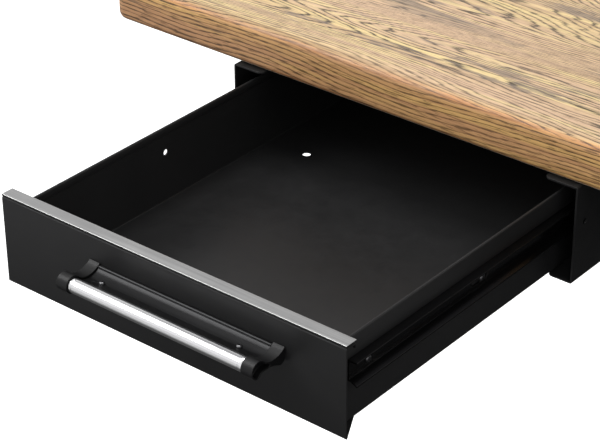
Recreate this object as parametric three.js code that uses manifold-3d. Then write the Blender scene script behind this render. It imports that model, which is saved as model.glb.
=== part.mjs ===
// Workbench with two under-top drawers on a cantilever steel frame.
// Units: millimetres. +Z up, -Y is the front, +X is the user's right.
// Origin: on the floor, at the centre of the bounding box with the left drawer drawn out as built here.
import * as THREE from "three";
import { mergeVertices } from "three/addons/utils/BufferGeometryUtils.js";
import Module from "manifold-3d";

const wasm = await Module();
wasm.setup();

// ---------------------------------------------------------------- driving dimensions
// worktop
const TOP_W = 1200;
const TOP_D = 750;
const TOP_T = 45;
const TOP_H = 880; // upper face above the floor
const TOP_EDGE_R = 9; // round-over of the long edges
const TOP_CORNER_R = 14; // vertical corners
const TOP_FRONT_Y = -192;
const TOP_UNDER_Z = TOP_H - TOP_T;
const GAP = 0.3; // clearance between touching pieces

// steel frame under and behind the top
const TUBE_T = 2.5;
const ARM_H = 40;
const ARM_FRONT_Y = -116;
const SIDE_ARM_X = 530;
const SIDE_ARM_W = 60;
const MID_ARM_W = 40;
const RAIL_W = 1120;
const RAIL_D = 60;
const RAIL_H = 50;
const RAIL_FRONT_Y = 454;
const COLUMN_X = 296;
const COLUMN_W = 70;
const COLUMN_D = 60;
const BEAM_H = 60;
const BEAM_Z = 22; // underside of the floor beams
const BEAM_FRONT_Y = -96;
const BEAM_BACK_Y = 544;
const CROSS_Z = 180;
const CROSS_S = 40;
const FOOT_R = 24;

// drawer unit, in its own frame: X 0 at the middle of the front, Y 0 at the face
// of the drawer front when shut, Z 0 at the lower edge of the drawer front
const UNIT_X = 235;
const UNIT_Y = -197.4;
const UNIT_Z = 741;
const OPENED = 318.6; // how far the left drawer is drawn out
const TRAVEL = 375; // three-quarter extension of 500 mm slides
const BRACKET_HALF = 200.35;
const BRACKET_T = 2;
const BRACKET_Y0 = 2.7;
const BRACKET_L = 560;
const BRACKET_Z0 = -6;
const BRACKET_Z1 = 93.7;
const BRACKET_LOW_FLANGE = 27.4;
const BRACKET_TOP_FLANGE = 36;

const FRONT_HALF = 194;
const FRONT_H = 88;
const SHEET = 1.5;
const FRONT_FLANGE_D = 33; // lower return flange
const FRONT_MITRE = 17;
const FRONT_TOP_D = 12.8; // upper return flange
const STRIP_D = 13.6;
const STRIP_Z0 = 88.3;
const STRIP_Z1 = 90.6;

const TRAY_HALF = 180;
const TRAY_Y0 = 1.8;
const TRAY_Y1 = 540;
const TRAY_Z0 = 1.8;
const TRAY_Z1 = 82;
const HEM_T = 3;
const HEM_H = 8;

const SLIDE_Y0 = 19;
const SLIDE_L = 500;
const SLIDE_T = 1.6;
const BALL_R = 2.2;
const CAGE_L = 120;

const HANDLE_X0 = -87.2; // outer face of the left end cap
const HANDLE_X1 = 131.5; // outer face of the right end cap
const CAP_W = 12.3;
const BAR_R = 6.8;
const BAR_Y = -34;
const BAR_Z = 59;
const HANDLE_SCREW_X = [-58.5, 95.5];

// ---------------------------------------------------------------- helpers
const ROOT = new THREE.Group();
ROOT.name = "workbench_with_drawers";

function material(color, roughness, metalness) {
  return () => new THREE.MeshStandardMaterial({ color, roughness, metalness });
}
const wood = material(0xc79a5f, 0.35, 0);
const blackSteel = material(0x1c1c1d, 0.45, 0.2);
const frameSteel = material(0x232426, 0.5, 0.2);
const brightStrip = material(0xb4b4b2, 0.4, 0.9);
const silverBar = material(0xd8d9da, 0.22, 1);
const slideSteel = material(0x3a3b3d, 0.35, 0.9);
const zinc = material(0x9a9b9c, 0.4, 0.9);
const blackPlastic = material(0x111112, 0.5, 0);
const darkAlu = material(0x37383a, 0.4, 0.8);
const rubber = material(0x1a1a1a, 0.85, 0);

function shapeOf(points, holes = []) {
  const s = new THREE.Shape(points.map(([a, b]) => new THREE.Vector2(a, b)));
  for (const h of holes)
    s.holes.push(new THREE.Path(h.map(([a, b]) => new THREE.Vector2(a, b))));
  return s;
}
function extrude(points, depth, holes) {
  return new THREE.ExtrudeGeometry(shapeOf(points, holes), {
    depth,
    bevelEnabled: false,
    curveSegments: 6,
  });
}
// (y, z) outline swept along X
function alongX(points, x0, x1, holes) {
  const g = extrude(points, x1 - x0, holes);
  g.applyMatrix4(
    new THREE.Matrix4().makeBasis(
      new THREE.Vector3(0, 1, 0),
      new THREE.Vector3(0, 0, 1),
      new THREE.Vector3(1, 0, 0),
    ),
  );
  return g.translate(x0, 0, 0);
}
// (x, z) outline swept along Y
function alongY(points, y0, y1, holes) {
  const g = extrude(points, y1 - y0, holes);
  g.applyMatrix4(
    new THREE.Matrix4().makeBasis(
      new THREE.Vector3(1, 0, 0),
      new THREE.Vector3(0, 0, 1),
      new THREE.Vector3(0, -1, 0),
    ),
  );
  return g.translate(0, y1, 0);
}
// (x, y) outline swept along Z
function alongZ(points, z0, z1, holes) {
  return extrude(points, z1 - z0, holes).translate(0, 0, z0);
}
function boxed(x0, x1, y0, y1, z0, z1) {
  return new THREE.BoxGeometry(x1 - x0, y1 - y0, z1 - z0).translate(
    (x0 + x1) / 2,
    (y0 + y1) / 2,
    (z0 + z1) / 2,
  );
}
function rounded(a0, a1, b0, b1, r, n = 3) {
  const out = [];
  const corners = [
    [a1 - r, b0 + r, -Math.PI / 2],
    [a1 - r, b1 - r, 0],
    [a0 + r, b1 - r, Math.PI / 2],
    [a0 + r, b0 + r, Math.PI],
  ];
  for (const [ca, cb, t] of corners)
    for (let i = 0; i <= n; i++) {
      const q = t + (i / n) * (Math.PI / 2);
      out.push([ca + r * Math.cos(q), cb + r * Math.sin(q)]);
    }
  return out;
}
function circle(ca, cb, r, n = 12) {
  return Array.from({ length: n }, (_, i) => {
    const q = (i / n) * 2 * Math.PI;
    return [ca + r * Math.cos(q), cb + r * Math.sin(q)];
  });
}
function solid(geometry) {
  const g = (geometry.index ? geometry.toNonIndexed() : geometry.clone());
  g.deleteAttribute("normal");
  g.deleteAttribute("uv");
  const m = mergeVertices(g, 1e-4);
  return new wasm.Manifold(
    new wasm.Mesh({
      numProp: 3,
      vertProperties: new Float32Array(m.attributes.position.array),
      triVerts: new Uint32Array(m.index.array),
    }),
  );
}
function geometryOf(s) {
  const m = s.getMesh();
  const v = new Float32Array(m.numVert * 3);
  for (let i = 0; i < m.numVert; i++)
    v.set(m.vertProperties.subarray(i * m.numProp, i * m.numProp + 3), i * 3);
  const g = new THREE.BufferGeometry()
    .setAttribute("position", new THREE.BufferAttribute(v, 3))
    .setIndex(new THREE.BufferAttribute(new Uint32Array(m.triVerts), 1))
    .toNonIndexed();
  g.computeVertexNormals();
  return g;
}
function cut(base, ...tools) {
  let s = solid(base);
  for (const t of tools) s = s.subtract(solid(t));
  return geometryOf(s);
}
function join(...parts) {
  let s = solid(parts[0]);
  for (const p of parts.slice(1)) s = s.add(solid(p));
  return geometryOf(s);
}
function put(group, name, geometry, mat) {
  const mesh = new THREE.Mesh(geometry, mat());
  mesh.name = name;
  group.add(mesh);
  return mesh;
}

// ---------------------------------------------------------------- worktop
{
  const r = TOP_EDGE_R;
  const x = TOP_W / 2 - r;
  const y0 = TOP_FRONT_Y + r;
  const y1 = TOP_FRONT_Y + TOP_D - r;
  const g = new THREE.ExtrudeGeometry(
    shapeOf(rounded(-x, x, y0, y1, TOP_CORNER_R - r, 4)),
    {
      depth: TOP_T - 2 * r,
      bevelEnabled: true,
      bevelThickness: r,
      bevelSize: r,
      bevelSegments: 4,
      curveSegments: 4,
    },
  ).translate(0, 0, TOP_UNDER_Z + r);
  put(ROOT, "worktop", g, wood);
}

// ---------------------------------------------------------------- steel frame
const RAIL_BACK_Y = RAIL_FRONT_Y + RAIL_D;
const RAIL_Z1 = TOP_UNDER_Z - GAP;
const RAIL_Z0 = RAIL_Z1 - RAIL_H;
const ARM_Z0 = RAIL_Z1 - ARM_H;

function tubeOutlines(a0, a1, b0, b1, r = 5) {
  return [
    rounded(a0, a1, b0, b1, r, 2),
    [rounded(a0 + TUBE_T, a1 - TUBE_T, b0 + TUBE_T, b1 - TUBE_T, r - 2, 2).reverse()],
  ];
}
{
  const [o, h] = tubeOutlines(RAIL_FRONT_Y, RAIL_BACK_Y, RAIL_Z0, RAIL_Z1);
  put(ROOT, "rear_rail", alongX(o, -RAIL_W / 2, RAIL_W / 2, h), frameSteel);
}
// moulded plug that closes a tube end: a plate with a short tongue inside the tube.
// dir -1 closes an end that faces -Y or -X, dir +1 one that faces the other way.
const PLATE = 2.5;
const TONGUE = 12;
const SLACK = 0.4;
function plugY(x0, x1, z0, z1, yEnd, dir) {
  const a = yEnd + dir * GAP;
  const b = a + dir * PLATE;
  const i = yEnd - dir * TONGUE;
  const t = TUBE_T + SLACK;
  return join(
    alongY(rounded(x0, x1, z0, z1, 5, 2), Math.min(a, b), Math.max(a, b)),
    alongY(
      rounded(x0 + t, x1 - t, z0 + t, z1 - t, 3, 2),
      Math.min(a + dir * 0.5, i),
      Math.max(a + dir * 0.5, i),
    ),
  );
}
function plugX(y0, y1, z0, z1, xEnd, dir) {
  const a = xEnd + dir * GAP;
  const b = a + dir * PLATE;
  const i = xEnd - dir * TONGUE;
  const t = TUBE_T + SLACK;
  return join(
    alongX(rounded(y0, y1, z0, z1, 5, 2), Math.min(a, b), Math.max(a, b)),
    alongX(
      rounded(y0 + t, y1 - t, z0 + t, z1 - t, 3, 2),
      Math.min(a + dir * 0.5, i),
      Math.max(a + dir * 0.5, i),
    ),
  );
}
for (const [name, x, w] of [
  ["left_arm", -SIDE_ARM_X, SIDE_ARM_W],
  ["middle_arm", 0, MID_ARM_W],
  ["right_arm", SIDE_ARM_X, SIDE_ARM_W],
]) {
  const [o, h] = tubeOutlines(x - w / 2, x + w / 2, ARM_Z0, RAIL_Z1);
  put(ROOT, name, alongY(o, ARM_FRONT_Y, RAIL_FRONT_Y - GAP, h), frameSteel);
  put(
    ROOT,
    name + "_plug",
    plugY(x - w / 2, x + w / 2, ARM_Z0, RAIL_Z1, ARM_FRONT_Y, -1),
    blackPlastic,
  );
}
for (const [side, s] of [
  ["left", -1],
  ["right", 1],
]) {
  const x0 = s * COLUMN_X - COLUMN_W / 2;
  const x1 = s * COLUMN_X + COLUMN_W / 2;
  put(
    ROOT,
    side + "_rail_plug",
    plugX(RAIL_FRONT_Y, RAIL_BACK_Y, RAIL_Z0, RAIL_Z1, (s * RAIL_W) / 2, s),
    blackPlastic,
  );
  const [co, ch] = tubeOutlines(x0, x1, RAIL_FRONT_Y, RAIL_FRONT_Y + COLUMN_D);
  put(
    ROOT,
    side + "_column",
    alongZ(co, BEAM_Z + BEAM_H + GAP, RAIL_Z0 - GAP, ch),
    frameSteel,
  );
  const [bo, bh] = tubeOutlines(x0, x1, BEAM_Z, BEAM_Z + BEAM_H);
  put(
    ROOT,
    side + "_floor_beam",
    alongY(bo, BEAM_FRONT_Y, BEAM_BACK_Y, bh),
    frameSteel,
  );
  put(
    ROOT,
    side + "_beam_front_plug",
    plugY(x0, x1, BEAM_Z, BEAM_Z + BEAM_H, BEAM_FRONT_Y, -1),
    blackPlastic,
  );
  put(
    ROOT,
    side + "_beam_rear_plug",
    plugY(x0, x1, BEAM_Z, BEAM_Z + BEAM_H, BEAM_BACK_Y, 1),
    blackPlastic,
  );
  // triangular gusset in the corner between floor beam and column
  const gz = BEAM_Z + BEAM_H + GAP;
  const gy = RAIL_FRONT_Y - GAP;
  put(
    ROOT,
    side + "_gusset",
    alongX(
      [
        [gy, gz],
        [gy, gz + 95],
        [gy - 12, gz + 95],
        [gy - 95, gz + 12],
        [gy - 95, gz],
      ],
      s * COLUMN_X - 3,
      s * COLUMN_X + 3,
    ),
    frameSteel,
  );
  for (const [end, y] of [
    ["front", BEAM_FRONT_Y + 40],
    ["rear", BEAM_BACK_Y - 40],
  ]) {
    // levelling foot: swivel pad and threaded stem up to the underside of the beam
    const profile = [
      [0, 0],
      [FOOT_R - 1.5, 0],
      [FOOT_R, 1.5],
      [FOOT_R, 6],
      [FOOT_R - 6, 8.5],
      [9, 10],
      [9, 14],
      [6, 14.5],
      [6, BEAM_Z - GAP],
      [0, BEAM_Z - GAP],
    ].map(([a, b]) => new THREE.Vector2(a, b));
    const g = new THREE.LatheGeometry(profile, 16)
      .rotateX(Math.PI / 2)
      .translate(s * COLUMN_X, y, 0);
    put(ROOT, side + "_" + end + "_foot", g, rubber);
  }
}
{
  const yc = RAIL_FRONT_Y + COLUMN_D / 2;
  const x = COLUMN_X - COLUMN_W / 2 - GAP;
  const [o, h] = tubeOutlines(
    yc - CROSS_S / 2,
    yc + CROSS_S / 2,
    CROSS_Z,
    CROSS_Z + CROSS_S,
  );
  put(ROOT, "lower_crossbar", alongX(o, -x, x, h), frameSteel);
}

// ---------------------------------------------------------------- drawer unit
// end cap outline in (y, z): foot on the drawer front, waisted neck, round nose
const CAP_OUTLINE = [
  [-GAP, 64.3], [-2, 63.6], [-4, 62.3], [-8, 60.7], [-12, 59.8], [-16, 59.5],
  [-20, 60], [-23.5, 61.5], [-26.5, 64], [-29.5, 66.2], [-33, 67.2],
  [-36.5, 66.8], [-39.5, 64.8], [-41.4, 61.8], [-42, 58.5], [-41.2, 55.2],
  [-39, 52.4], [-36, 50.8], [-33.5, 50.9], [-31.5, 52.6], [-29.5, 54],
  [-26, 54.6], [-20, 54.4], [-15, 53.4], [-11, 51.9], [-8, 50.4],
  [-5.5, 49.8], [-3, 50.4], [-1, 52.2], [-GAP, 54.5],
].reverse();
// blind pocket in the outer face of a cap, behind the nose
const CAP_POCKET = [
  [-20, 58.4], [-24, 60.2], [-27.3, 62.9], [-30, 64.8], [-33, 65.7],
  [-36, 65.3], [-38.5, 63.7], [-40, 61.2], [-40.5, 58.5], [-39.8, 55.8],
  [-38, 53.7], [-35.8, 52.4], [-34, 52.5], [-32.2, 54], [-29.8, 55.4],
  [-26, 56.1], [-20, 55.9],
].reverse();
const PLATE_OUTLINE = [
  [-GAP, 63], [-2.2, 63], [-3.2, 62.2], [-3.6, 61], [-5.5, 59.6], [-8, 58.6],
  [-12, 57.6], [-15.5, 57.2], [-21, 58.6], [-25.9, 60.4], [-25.9, 58.4],
  [-21, 56.6], [-15.5, 55.2], [-12, 55.6], [-8, 56.6], [-4.3, 57.2],
  [-2.3, 56.4], [-2.3, 51.5], [-GAP, 51.5],
].reverse();

// the first hole in the web, (y, z), sits higher in the left-hand bracket
const FIRST_HOLE_RIGHT = [18.4, 53];
const FIRST_HOLE_LEFT = [26.4, 67.3];
function bracketRight(firstHole) {
  const x1 = BRACKET_HALF;
  const x0 = x1 - BRACKET_T;
  const flange = (depth, z0) => {
    const r = 6;
    const a = x1 - depth;
    const pts = [
      [x1, BRACKET_Y0], [x1, BRACKET_L], [a + r, BRACKET_L],
      [a + 1.8, BRACKET_L - 1.8], [a, BRACKET_L - r], [a, BRACKET_Y0 + r],
      [a + 0.8, BRACKET_Y0 + 3], [a + 3, BRACKET_Y0 + 0.8], [a + r, BRACKET_Y0],
    ];
    return alongZ(pts, z0, z0 + BRACKET_T);
  };
  const body = join(
    boxed(x0, x1, BRACKET_Y0, BRACKET_L, BRACKET_Z0, BRACKET_Z1),
    flange(BRACKET_LOW_FLANGE, BRACKET_Z0),
    flange(BRACKET_TOP_FLANGE, BRACKET_Z1 - BRACKET_T),
  );
  const holes = [];
  for (const [y, z] of [firstHole, [150, 53], [290, 53], [430, 53]])
    holes.push(alongX(circle(y, z, 3, 10), x0 - 3, x1 + 3));
  for (const y of [60, 280, 500])
    holes.push(
      alongZ(circle(x1 - 24, y, 2.6, 8), BRACKET_Z1 - BRACKET_T - 2, BRACKET_Z1 + 2),
    );
  return cut(body, ...holes);
}
// profiles in (x, z) for the right-hand side of a drawer
const INNER = [
  [180.3, 42], [183, 42], [189.9, 38.9], [189.9, 40.6], [183.4, 43.6],
  [181.9, 44.2], [181.9, 60.3], [183.2, 60.9], [189.9, 61.3], [189.9, 62.9],
  [180.3, 62.5],
];
const OUTER = [
  [198, 33.3], [198, 69.1], [182.6, 69.1], [182.6, 66.2], [184.2, 66.2],
  [184.2, 67.5], [196.4, 67.5], [196.4, 34.9], [184.2, 34.9], [184.2, 36.2],
  [182.6, 36.2], [182.6, 33.3],
];
const CAGE = [
  [185.2, 64.6], [192.1, 64.6], [192.1, 37.8], [185.2, 37.8], [185.2, 37],
  [192.9, 37], [192.9, 65.4], [185.2, 65.4],
];
// a mirrored copy keeps its faces pointing out: the triangles are turned round
function mirrored(g) {
  const m = g.clone().applyMatrix4(new THREE.Matrix4().makeScale(-1, 1, 1));
  const flat = m.index ? m.toNonIndexed() : m;
  const p = flat.getAttribute("position");
  for (let i = 0; i < p.count; i += 3) {
    const b = [p.getX(i + 1), p.getY(i + 1), p.getZ(i + 1)];
    p.setXYZ(i + 1, p.getX(i + 2), p.getY(i + 2), p.getZ(i + 2));
    p.setXYZ(i + 2, ...b);
  }
  flat.computeVertexNormals();
  return flat;
}
function innerSlide() {
  const tools = [
    alongX(circle(43.5, 52, 2.6, 8), 178, 186),
    alongX(rounded(188, 212, 48.2, 58.4, 5, 3), 178, 186),
    alongX(circle(470, 52, 2.6, 8), 178, 186),
  ];
  return cut(alongY(INNER, SLIDE_Y0, SLIDE_Y0 + SLIDE_L), ...tools);
}
function outerSlide() {
  const tools = [150, 290, 430].map((y) =>
    alongX(circle(y, 53, 2.6, 8), 194, 202),
  );
  return cut(alongY(OUTER, SLIDE_Y0 + 6, SLIDE_Y0 + SLIDE_L), ...tools);
}
// with the drawer shut the cage sits half the travel behind the slide's front end
const CAGE_Y0 = SLIDE_Y0 + 6 + TRAVEL / 2;
function ballCage() {
  const parts = [alongY(CAGE, CAGE_Y0, CAGE_Y0 + CAGE_L)];
  for (const y of [12, 44, 76, 108])
    for (const z of [65, 37.4])
      parts.push(
        new THREE.IcosahedronGeometry(BALL_R, 0).translate(187, CAGE_Y0 + y, z),
      );
  return join(...parts);
}
function tray() {
  const h = TRAY_HALF;
  const outer = boxed(-h, h, TRAY_Y0, TRAY_Y1, TRAY_Z0, TRAY_Z1);
  const low = boxed(
    -h + SHEET, h - SHEET, TRAY_Y0 + SHEET, TRAY_Y1 - SHEET,
    TRAY_Z0 + SHEET, TRAY_Z1 - HEM_H + 0.5,
  );
  const high = boxed(
    -h + HEM_T, h - HEM_T, TRAY_Y0 + HEM_T, TRAY_Y1 - HEM_T,
    TRAY_Z1 - HEM_H, TRAY_Z1 + 5,
  );
  const holes = [];
  for (const s of [-1, 1]) {
    const x0 = s < 0 ? -h - 3 : h - 5;
    for (const [y, z, r] of [[43.5, 52, 2.2], [s < 0 ? 196 : 203, s < 0 ? 54.5 : 52, 3], [470, 52, 2.2]])
      holes.push(alongX(circle(y, z, r, 12), x0, x0 + 8));
    holes.push(alongZ(circle(s * 132, 350, 4.4, 16), TRAY_Z0 - 3, TRAY_Z0 + 5));
  }
  return cut(outer, low, high, ...holes);
}
function frontPanel() {
  const f = FRONT_HALF;
  const m = FRONT_MITRE;
  const top = FRONT_TOP_D;
  return join(
    boxed(-f, f, 0, SHEET, 0, FRONT_H),
    alongZ(
      [[-f, 0], [f, 0], [f, SHEET], [f - m, FRONT_FLANGE_D], [-f + m, FRONT_FLANGE_D], [-f, SHEET]],
      0,
      SHEET,
    ),
    boxed(-f, f, 0, top, FRONT_H - SHEET, FRONT_H),
    boxed(-f, f, top - SHEET, top, FRONT_H - 5, FRONT_H),
  );
}
function drawer(group, side) {
  put(group, side + "_drawer_tray", tray(), blackSteel);
  put(group, side + "_drawer_front", frontPanel(), blackSteel);
  put(
    group,
    side + "_drawer_strip",
    boxed(-FRONT_HALF, FRONT_HALF, 0, STRIP_D, STRIP_Z0, STRIP_Z1),
    brightStrip,
  );
  const inner = innerSlide();
  put(group, side + "_drawer_right_inner_slide", inner, slideSteel);
  put(group, side + "_drawer_left_inner_slide", mirrored(inner), slideSteel);
  // handle
  const x0 = HANDLE_X0;
  const x1 = HANDLE_X1;
  put(
    group,
    side + "_handle_left_cap",
    cut(alongX(CAP_OUTLINE, x0, x0 + CAP_W), alongX(CAP_POCKET, x0 - 2, x0 + 6)),
    blackPlastic,
  );
  put(
    group,
    side + "_handle_right_cap",
    cut(alongX(CAP_OUTLINE, x1 - CAP_W, x1), alongX(CAP_POCKET, x1 - 6, x1 + 2)),
    blackPlastic,
  );
  const a = x0 + CAP_W + GAP;
  const b = x1 - CAP_W - GAP;
  put(
    group,
    side + "_handle_bar",
    alongX(circle(BAR_Y, BAR_Z, BAR_R, 24), a, b),
    silverBar,
  );
  put(
    group,
    side + "_handle_plate",
    cut(
      alongX(PLATE_OUTLINE, a, b),
      ...HANDLE_SCREW_X.map((x) => alongZ(circle(x, -15.5, 1.9, 8), 50, 62)),
    ),
    darkAlu,
  );
  HANDLE_SCREW_X.forEach((x, i) => {
    const profile = [
      [0, 53.5], [1.4, 53.5], [1.4, 57.9], [2.6, 57.9], [2.4, 58.9], [1.5, 59.5], [0, 59.6],
    ].map(([p, q]) => new THREE.Vector2(p, q));
    put(
      group,
      side + "_handle_screw_" + (i + 1),
      new THREE.LatheGeometry(profile, 12).rotateX(Math.PI / 2).translate(x, -15.5, 0),
      zinc,
    );
  });
}
function unit(side, x, opened) {
  const fixed = new THREE.Group();
  fixed.position.set(x, UNIT_Y, UNIT_Z);
  ROOT.add(fixed);
  put(fixed, side + "_unit_right_bracket", bracketRight(FIRST_HOLE_RIGHT), blackSteel);
  put(
    fixed,
    side + "_unit_left_bracket",
    mirrored(bracketRight(FIRST_HOLE_LEFT)),
    blackSteel,
  );
  const outer = outerSlide();
  put(fixed, side + "_unit_right_outer_slide", outer, slideSteel);
  put(fixed, side + "_unit_left_outer_slide", mirrored(outer), slideSteel);

  const moving = new THREE.Group();
  moving.position.set(0, -opened, 0);
  fixed.add(moving);
  drawer(moving, side);

  const cages = new THREE.Group();
  cages.position.set(0, -opened / 2, 0);
  fixed.add(cages);
  const cage = ballCage();
  put(cages, side + "_unit_right_ball_cage", cage, zinc);
  put(cages, side + "_unit_left_ball_cage", mirrored(cage), zinc);
}
unit("left", -UNIT_X, OPENED);
unit("right", UNIT_X, 0);

export default ROOT;
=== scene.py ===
import bpy, bmesh, math
from mathutils import Vector, Matrix


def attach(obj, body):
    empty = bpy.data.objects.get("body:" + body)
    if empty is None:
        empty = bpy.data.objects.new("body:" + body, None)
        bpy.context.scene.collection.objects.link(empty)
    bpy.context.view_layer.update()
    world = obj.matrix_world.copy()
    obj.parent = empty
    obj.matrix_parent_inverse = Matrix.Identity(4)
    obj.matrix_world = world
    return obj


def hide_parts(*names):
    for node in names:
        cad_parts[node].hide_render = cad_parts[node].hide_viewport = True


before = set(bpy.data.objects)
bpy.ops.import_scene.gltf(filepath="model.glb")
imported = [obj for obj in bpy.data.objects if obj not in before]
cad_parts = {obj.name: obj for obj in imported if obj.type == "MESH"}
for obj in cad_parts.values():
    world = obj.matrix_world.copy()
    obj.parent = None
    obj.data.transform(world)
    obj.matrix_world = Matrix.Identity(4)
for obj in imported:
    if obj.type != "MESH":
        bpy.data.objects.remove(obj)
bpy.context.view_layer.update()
MM = 0.001
SCENE = bpy.context.scene


# ------------------------------------------------------------------ materials
class Mat:
    """A node material with a few short helpers. Coordinates are the object's own, in metres."""

    def __init__(self, name):
        self.m = bpy.data.materials.new(name)
        self.m.use_nodes = True
        self.t = self.m.node_tree
        self.t.nodes.clear()
        self.out = self.t.nodes.new("ShaderNodeOutputMaterial")
        self.s = self.t.nodes.new("ShaderNodeBsdfPrincipled")
        self.t.links.new(self.s.outputs[0], self.out.inputs[0])
        self.co = self.t.nodes.new("ShaderNodeTexCoord").outputs["Object"]

    def set(self, **kw):
        for k, v in kw.items():
            self.s.inputs[k.replace("_", " ")].default_value = v

    def link(self, a, socket):
        self.t.links.new(a, self.s.inputs[socket])

    def _in(self, node, i, v):
        if isinstance(v, bpy.types.NodeSocket):
            self.t.links.new(v, node.inputs[i])
        else:
            node.inputs[i].default_value = v

    def math(self, op, a, b=0.0, c=0.0, clamp=False):
        n = self.t.nodes.new("ShaderNodeMath")
        n.operation = op
        n.use_clamp = clamp
        for i, v in enumerate((a, b, c)):
            self._in(n, i, v)
        return n.outputs[0]

    def scale(self, sx, sy, sz, loc=(0, 0, 0), rot=(0, 0, 0), co=None):
        n = self.t.nodes.new("ShaderNodeMapping")
        self.t.links.new(co if co is not None else self.co, n.inputs[0])
        n.inputs["Location"].default_value = loc
        n.inputs["Rotation"].default_value = rot
        n.inputs["Scale"].default_value = (sx, sy, sz)
        return n.outputs[0]

    def noise(self, vec, scale=1.0, detail=3.0, rough=0.5, dist=0.0):
        n = self.t.nodes.new("ShaderNodeTexNoise")
        self.t.links.new(vec, n.inputs["Vector"])
        n.inputs["Scale"].default_value = scale
        n.inputs["Detail"].default_value = detail
        n.inputs["Roughness"].default_value = rough
        n.inputs["Distortion"].default_value = dist
        return n.outputs["Fac"]

    def voronoi(self, vec, scale=1.0):
        n = self.t.nodes.new("ShaderNodeTexVoronoi")
        self.t.links.new(vec, n.inputs["Vector"])
        n.inputs["Scale"].default_value = scale
        return n.outputs["Distance"]

    def ramp(self, fac, stops, mode="LINEAR"):
        n = self.t.nodes.new("ShaderNodeValToRGB")
        n.color_ramp.interpolation = mode
        el = n.color_ramp.elements
        while len(el) < len(stops):
            el.new(0.5)
        for e, (p, c) in zip(el, stops):
            e.position = p
            e.color = (c, c, c, 1) if isinstance(c, (int, float)) else (*c, 1)
        self.t.links.new(fac, n.inputs[0])
        return n.outputs[0]

    def range(self, v, a, b, c, d):
        n = self.t.nodes.new("ShaderNodeMapRange")
        self.t.links.new(v, n.inputs[0])
        for i, x in enumerate((a, b, c, d)):
            n.inputs[i + 1].default_value = x
        return n.outputs[0]

    def mix(self, fac, a, b, mode="MIX"):
        n = self.t.nodes.new("ShaderNodeMix")
        n.data_type = "RGBA"
        n.blend_type = mode
        n.clamp_factor = True
        for i, v in ((0, fac), (6, a), (7, b)):
            if isinstance(v, bpy.types.NodeSocket):
                self.t.links.new(v, n.inputs[i])
            elif i:
                n.inputs[i].default_value = (*v, 1)
            else:
                n.inputs[i].default_value = v
        return n.outputs[2]

    def xyz(self, vec):
        n = self.t.nodes.new("ShaderNodeSeparateXYZ")
        self.t.links.new(vec, n.inputs[0])
        return n.outputs

    def combine(self, x, y, z):
        n = self.t.nodes.new("ShaderNodeCombineXYZ")
        for i, v in enumerate((x, y, z)):
            self._in(n, i, v)
        return n.outputs[0]

    def normal_z(self):
        n = self.t.nodes.new("ShaderNodeNewGeometry")
        return self.xyz(n.outputs["Normal"])[2]

    def bump(self, height, strength, distance, normal=None):
        n = self.t.nodes.new("ShaderNodeBump")
        n.inputs["Strength"].default_value = strength
        n.inputs["Distance"].default_value = distance
        self.t.links.new(height, n.inputs["Height"])
        if normal is not None:
            self.t.links.new(normal, n.inputs["Normal"])
        return n.outputs[0]


def srgb(r, g, b):
    f = lambda c: c / 12.92 if c <= 0.04045 else ((c + 0.055) / 1.055) ** 2.4
    return tuple(f(c / 255) for c in (r, g, b))


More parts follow.
